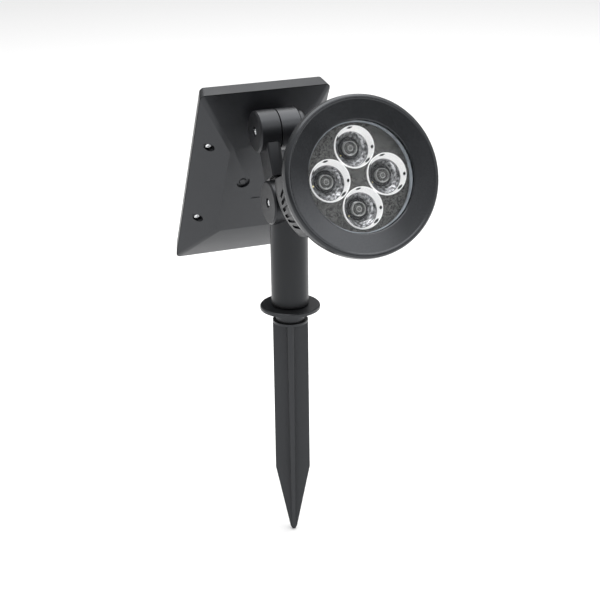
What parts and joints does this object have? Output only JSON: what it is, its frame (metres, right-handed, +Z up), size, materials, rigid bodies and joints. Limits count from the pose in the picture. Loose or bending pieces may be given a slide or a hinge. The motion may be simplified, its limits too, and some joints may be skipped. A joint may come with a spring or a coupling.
{
  "type": "light projector stake",
  "caption": "Solar garden spotlight on a ground spike: round tilting lamp head, rear tilting solar panel on a link arm, short turning post, flange and crossed-rib stake.",
  "frame": {"origin": "on the post axis in the underside of the ground flange, which is the soil line", "axes": "+Z up along the post, lamp throws its light toward -Y and up, solar panel on +Y, both hinge axes along X"},
  "size_m": [0.1232, 0.1927, 0.3116],
  "materials": {
    "abs_charcoal": "fine satin texture",
    "abs_graphite": "satin moulded",
    "post_plastic": "satin moulded",
    "bezel_plastic": "semi gloss",
    "clear_lens": "clear polycarbonate",
    "clear_optic": "clear acrylic",
    "mask_plastic": "mottled",
    "bright_ring": "polished",
    "seal_rubber": "matte",
    "board_alu": "white solder mask",
    "spreader_alu": "milled",
    "led_yellow": "phosphor",
    "screw_steel": "zinc plated",
    "board_green": "solder mask",
    "switch_black": "moulded",
    "button_rubber": "satin",
    "cell_wrap": "shrink wrap",
    "holder_plastic": "moulded",
    "laminate_clear": "clear resin",
    "cell_silicon": "silicon"
  },
  "bodies": {
    "stake": {"ground_spike": "abs_graphite"},
    "post": {"post_tube": "post_plastic", "spigot_ring": "seal_rubber", "upper_bush": "holder_plastic", "lower_knuckle": "abs_charcoal", "link_arm": "abs_charcoal", "link_screw": "screw_steel", "lower_hinge_bolt": "screw_steel", "lower_hinge_washer": "seal_rubber", "upper_hinge_bolt": "screw_steel", "upper_hinge_washer": "seal_rubber"},
    "lamp_head": {"head_body": "abs_charcoal", "bezel_ring": "bezel_plastic", "lens_cover": "clear_lens", "lens_gasket": "seal_rubber", "led_mask_plate": "mask_plastic", "led_trim_rings": "bright_ring", "led_lenses": "clear_optic", "led_chips": "led_yellow", "led_board": "board_alu", "heat_spreader": "spreader_alu", "board_screws": "screw_steel", "lower_hinge_nut": "screw_steel"},
    "solar_panel": {"panel_back_cover": "abs_charcoal", "panel_front_frame": "abs_charcoal", "panel_gasket": "seal_rubber", "solar_laminate": "laminate_clear", "solar_cell_sheet": "cell_silicon", "panel_screws": "screw_steel", "control_board": "board_green", "tact_switch": "switch_black", "pcb_screws": "screw_steel", "battery_cells": "cell_wrap", "battery_holder": "holder_plastic", "upper_hinge_nut": "screw_steel", "hinge_cap": "abs_charcoal"},
    "button": {"mode_button": "button_rubber"}
  },
  "joints": [
    {"name": "post_turn", "type": "hinge", "parent": "stake", "child": "post", "pos_m": [0, 0, 0], "axis": [0, 0, 1], "range_deg": [-180, 180]},
    {"name": "head_tilt", "type": "hinge", "parent": "post", "child": "lamp_head", "pos_m": [0, 0, 0.073], "axis": [-1, 0, 0], "range_deg": [-30, 14]},
    {"name": "panel_tilt", "type": "hinge", "parent": "post", "child": "solar_panel", "pos_m": [0, 0.022, 0.114], "axis": [1, 0, 0], "range_deg": [-20, 50]},
    {"name": "mode_press", "type": "slide", "parent": "solar_panel", "child": "button", "axis": [0, 0.8721, 0.4894], "range_m": [0, 0.0012], "stiffness_N_per_m": 900, "springref_m": -0.0004}
  ]
}
